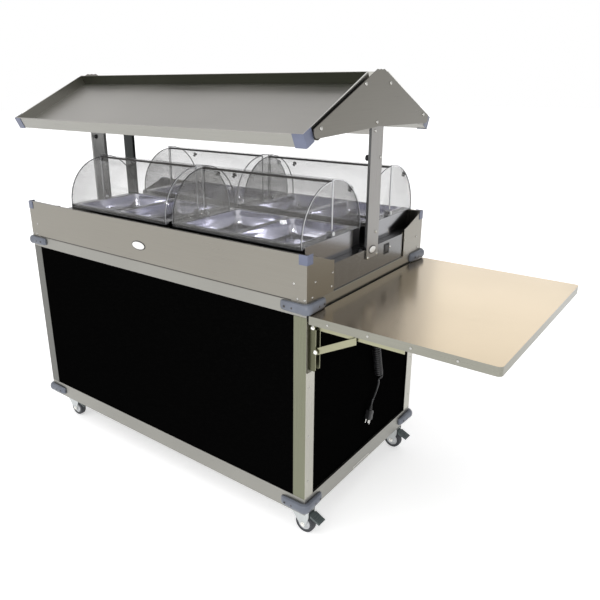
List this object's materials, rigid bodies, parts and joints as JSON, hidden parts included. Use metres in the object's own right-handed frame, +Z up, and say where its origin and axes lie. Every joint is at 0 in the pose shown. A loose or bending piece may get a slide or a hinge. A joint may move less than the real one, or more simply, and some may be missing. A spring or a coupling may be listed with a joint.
{
  "type": "mobile buffet cart",
  "caption": "Wheeled buffet cart: a cabinet on casters with roll-top hot wells, lift-out pans, a gabled canopy, a fold-down side shelf and a curly lead.",
  "frame": {"origin": "middle of the open cart's box on the floor", "axes": "+Z up, +X along the cart towards the folding shelf, -Y towards the customer side"},
  "size_m": [2.119, 0.844, 1.596],
  "materials": {
    "steel": "satin",
    "bright_steel": "polished",
    "dark_steel": "satin",
    "black_laminate": "matte",
    "clear_lid": "gloss",
    "zinc": "satin",
    "grey_plastic": "matte",
    "black_plastic": "satin",
    "tyre": "matte"
  },
  "bodies": {
    "cart": {"base_frame": "steel", "upper_frame": "steel", "front_panel": "black_laminate", "right_end_panel": "black_laminate", "left_end_panel": "black_laminate", "front_apron": "steel", "rear_apron": "steel", "counter_deck": "steel", "front_left_well": "bright_steel", "front_right_well": "bright_steel", "rear_left_well": "bright_steel", "rear_right_well": "bright_steel", "roof_tray_rear": "steel", "roof_tray_front": "steel", "gable_right": "steel", "gable_left": "steel", "right_post": "steel", "left_post": "steel", "left_service_post": "dark_steel", "ridge_beam": "steel", "shelf_bracket_front": "zinc", "shelf_bracket_rear": "zinc", "cord_outlet": "black_plastic", "cord_coil": "black_plastic", "cord_tail": "black_plastic", "cord_plug": "black_plastic"},
    "door_right": {"rear_door_right": "steel"},
    "door_left": {"rear_door_left": "steel"},
    "switch": {"power_switch": "black_plastic"},
    "front_left_pan_left": {"front_left_pan_left": "bright_steel"},
    "front_left_pan_right": {"front_left_pan_right": "bright_steel"},
    "front_left_lid_front": {"front_left_lid_front": "clear_lid"},
    "front_left_lid_rear": {"front_left_lid_rear": "clear_lid"},
    "front_right_pan_left": {"front_right_pan_left": "bright_steel"},
    "front_right_pan_right": {"front_right_pan_right": "bright_steel"},
    "front_right_lid_front": {"front_right_lid_front": "clear_lid"},
    "front_right_lid_rear": {"front_right_lid_rear": "clear_lid"},
    "rear_left_pan_left": {"rear_left_pan_left": "bright_steel"},
    "rear_left_pan_right": {"rear_left_pan_right": "bright_steel"},
    "rear_left_lid_front": {"rear_left_lid_front": "clear_lid"},
    "rear_left_lid_rear": {"rear_left_lid_rear": "clear_lid"},
    "rear_right_pan_left": {"rear_right_pan_left": "bright_steel"},
    "rear_right_pan_right": {"rear_right_pan_right": "bright_steel"},
    "rear_right_lid_front": {"rear_right_lid_front": "clear_lid"},
    "rear_right_lid_rear": {"rear_right_lid_rear": "clear_lid"},
    "caster_front_left": {"caster_fork_front_left": "zinc"},
    "wheel_front_left": {"caster_wheel_front_left": "tyre"},
    "pedal_front_left": {"brake_pedal_front_left": "grey_plastic"},
    "caster_rear_left": {"caster_fork_rear_left": "zinc"},
    "wheel_rear_left": {"caster_wheel_rear_left": "tyre"},
    "pedal_rear_left": {"brake_pedal_rear_left": "grey_plastic"},
    "caster_front_right": {"caster_fork_front_right": "zinc"},
    "wheel_front_right": {"caster_wheel_front_right": "tyre"},
    "pedal_front_right": {"brake_pedal_front_right": "grey_plastic"},
    "caster_rear_right": {"caster_fork_rear_right": "zinc"},
    "wheel_rear_right": {"caster_wheel_rear_right": "tyre"},
    "pedal_rear_right": {"brake_pedal_rear_right": "grey_plastic"},
    "shelf": {"side_shelf": "bright_steel"},
    "strut_front": {"shelf_strut_front": "zinc"},
    "strut_rear": {"shelf_strut_rear": "zinc"}
  },
  "joints": [
    {"name": "door_right_hinge", "type": "hinge", "parent": "cart", "child": "door_right", "pos_m": [0.4055, 0.4095, 0.52], "axis": [0, 0, -1], "range_deg": [0, 110]},
    {"name": "door_left_hinge", "type": "hinge", "parent": "cart", "child": "door_left", "pos_m": [-0.9885, 0.4095, 0.52], "axis": [0, 0, 1], "range_deg": [0, 110]},
    {"name": "switch_rocker", "type": "hinge", "parent": "cart", "child": "switch", "pos_m": [0.4515, 0.116, 0.973], "axis": [0, 1, 0], "range_deg": [0, 12]},
    {"name": "front_left_pan_left_lift", "type": "slide", "parent": "cart", "child": "front_left_pan_left", "axis": [0, 0, 1], "range_m": [0, 0.03]},
    {"name": "front_left_pan_right_lift", "type": "slide", "parent": "cart", "child": "front_left_pan_right", "axis": [0, 0, 1], "range_m": [0, 0.03]},
    {"name": "front_left_lid_front_hinge", "type": "hinge", "parent": "cart", "child": "front_left_lid_front", "pos_m": [-0.479, -0.2, 1.087], "axis": [-1, 0, 0], "range_deg": [0, 88]},
    {"name": "front_left_lid_rear_hinge", "type": "hinge", "parent": "cart", "child": "front_left_lid_rear", "pos_m": [-0.479, -0.2, 1.087], "axis": [1, 0, 0], "range_deg": [0, 88]},
    {"name": "front_right_pan_left_lift", "type": "slide", "parent": "cart", "child": "front_right_pan_left", "axis": [0, 0, 1], "range_m": [0, 0.03]},
    {"name": "front_right_pan_right_lift", "type": "slide", "parent": "cart", "child": "front_right_pan_right", "axis": [0, 0, 1], "range_m": [0, 0.03]},
    {"name": "front_right_lid_front_hinge", "type": "hinge", "parent": "cart", "child": "front_right_lid_front", "pos_m": [0.129, -0.2, 1.087], "axis": [-1, 0, 0], "range_deg": [0, 88]},
    {"name": "front_right_lid_rear_hinge", "type": "hinge", "parent": "cart", "child": "front_right_lid_rear", "pos_m": [0.129, -0.2, 1.087], "axis": [1, 0, 0], "range_deg": [0, 88]},
    {"name": "rear_left_pan_left_lift", "type": "slide", "parent": "cart", "child": "rear_left_pan_left", "axis": [0, 0, 1], "range_m": [0, 0.03]},
    {"name": "rear_left_pan_right_lift", "type": "slide", "parent": "cart", "child": "rear_left_pan_right", "axis": [0, 0, 1], "range_m": [0, 0.03]},
    {"name": "rear_left_lid_front_hinge", "type": "hinge", "parent": "cart", "child": "rear_left_lid_front", "pos_m": [-0.479, 0.2, 1.087], "axis": [-1, 0, 0], "range_deg": [0, 88]},
    {"name": "rear_left_lid_rear_hinge", "type": "hinge", "parent": "cart", "child": "rear_left_lid_rear", "pos_m": [-0.479, 0.2, 1.087], "axis": [1, 0, 0], "range_deg": [0, 88]},
    {"name": "rear_right_pan_left_lift", "type": "slide", "parent": "cart", "child": "rear_right_pan_left", "axis": [0, 0, 1], "range_m": [0, 0.03]},
    {"name": "rear_right_pan_right_lift", "type": "slide", "parent": "cart", "child": "rear_right_pan_right", "axis": [0, 0, 1], "range_m": [0, 0.03]},
    {"name": "rear_right_lid_front_hinge", "type": "hinge", "parent": "cart", "child": "rear_right_lid_front", "pos_m": [0.129, 0.2, 1.087], "axis": [-1, 0, 0], "range_deg": [0, 88]},
    {"name": "rear_right_lid_rear_hinge", "type": "hinge", "parent": "cart", "child": "rear_right_lid_rear", "pos_m": [0.129, 0.2, 1.087], "axis": [1, 0, 0], "range_deg": [0, 88]},
    {"name": "swivel_front_left", "type": "hinge", "parent": "cart", "child": "caster_front_left", "pos_m": [-0.9755, -0.342, 0.1], "axis": [0, 0, 1], "continuous": true},
    {"name": "roll_front_left", "type": "hinge", "parent": "caster_front_left", "child": "wheel_front_left", "pos_m": [-0.9455, -0.342, 0.038], "axis": [0, 1, 0], "continuous": true},
    {"name": "brake_front_left", "type": "hinge", "parent": "caster_front_left", "child": "pedal_front_left", "pos_m": [-0.9285, -0.342, 0.086], "axis": [0, 1, 0], "range_deg": [0, 12]},
    {"name": "swivel_rear_left", "type": "hinge", "parent": "cart", "child": "caster_rear_left", "pos_m": [-0.9755, 0.342, 0.1], "axis": [0, 0, 1], "continuous": true},
    {"name": "roll_rear_left", "type": "hinge", "parent": "caster_rear_left", "child": "wheel_rear_left", "pos_m": [-0.9455, 0.342, 0.038], "axis": [0, 1, 0], "continuous": true},
    {"name": "brake_rear_left", "type": "hinge", "parent": "caster_rear_left", "child": "pedal_rear_left", "pos_m": [-0.9285, 0.342, 0.086], "axis": [0, 1, 0], "range_deg": [0, 12]},
    {"name": "swivel_front_right", "type": "hinge", "parent": "cart", "child": "caster_front_right", "pos_m": [0.3925, -0.342, 0.1], "axis": [0, 0, 1], "continuous": true},
    {"name": "roll_front_right", "type": "hinge", "parent": "caster_front_right", "child": "wheel_front_right", "pos_m": [0.4225, -0.342, 0.038], "axis": [0, 1, 0], "continuous": true},
    {"name": "brake_front_right", "type": "hinge", "parent": "caster_front_right", "child": "pedal_front_right", "pos_m": [0.4395, -0.342, 0.086], "axis": [0, 1, 0], "range_deg": [0, 12]},
    {"name": "swivel_rear_right", "type": "hinge", "parent": "cart", "child": "caster_rear_right", "pos_m": [0.3925, 0.342, 0.1], "axis": [0, 0, 1], "continuous": true},
    {"name": "roll_rear_right", "type": "hinge", "parent": "caster_rear_right", "child": "wheel_rear_right", "pos_m": [0.4225, 0.342, 0.038], "axis": [0, 1, 0], "continuous": true},
    {"name": "brake_rear_right", "type": "hinge", "parent": "caster_rear_right", "child": "pedal_rear_right", "pos_m": [0.4395, 0.342, 0.086], "axis": [0, 1, 0], "range_deg": [0, 12]},
    {"name": "shelf_fold", "type": "hinge", "parent": "cart", "child": "shelf", "pos_m": [0.4735, 0, 0.832], "axis": [0, 1, 0], "range_deg": [0, 90]},
    {"name": "strut_front_fold", "type": "hinge", "parent": "cart", "child": "strut_front", "pos_m": [0.4845, -0.385, 0.751], "axis": [0, 1, 0], "range_deg": [0, 117]},
    {"name": "strut_rear_fold", "type": "hinge", "parent": "cart", "child": "strut_rear", "pos_m": [0.4845, 0.385, 0.751], "axis": [0, 1, 0], "range_deg": [0, 117]}
  ],
  "couplings": [
    {"joint": "strut_front_fold", "follows": "shelf_fold", "ratio": 1.297},
    {"joint": "strut_rear_fold", "follows": "shelf_fold", "ratio": 1.297}
  ]
}
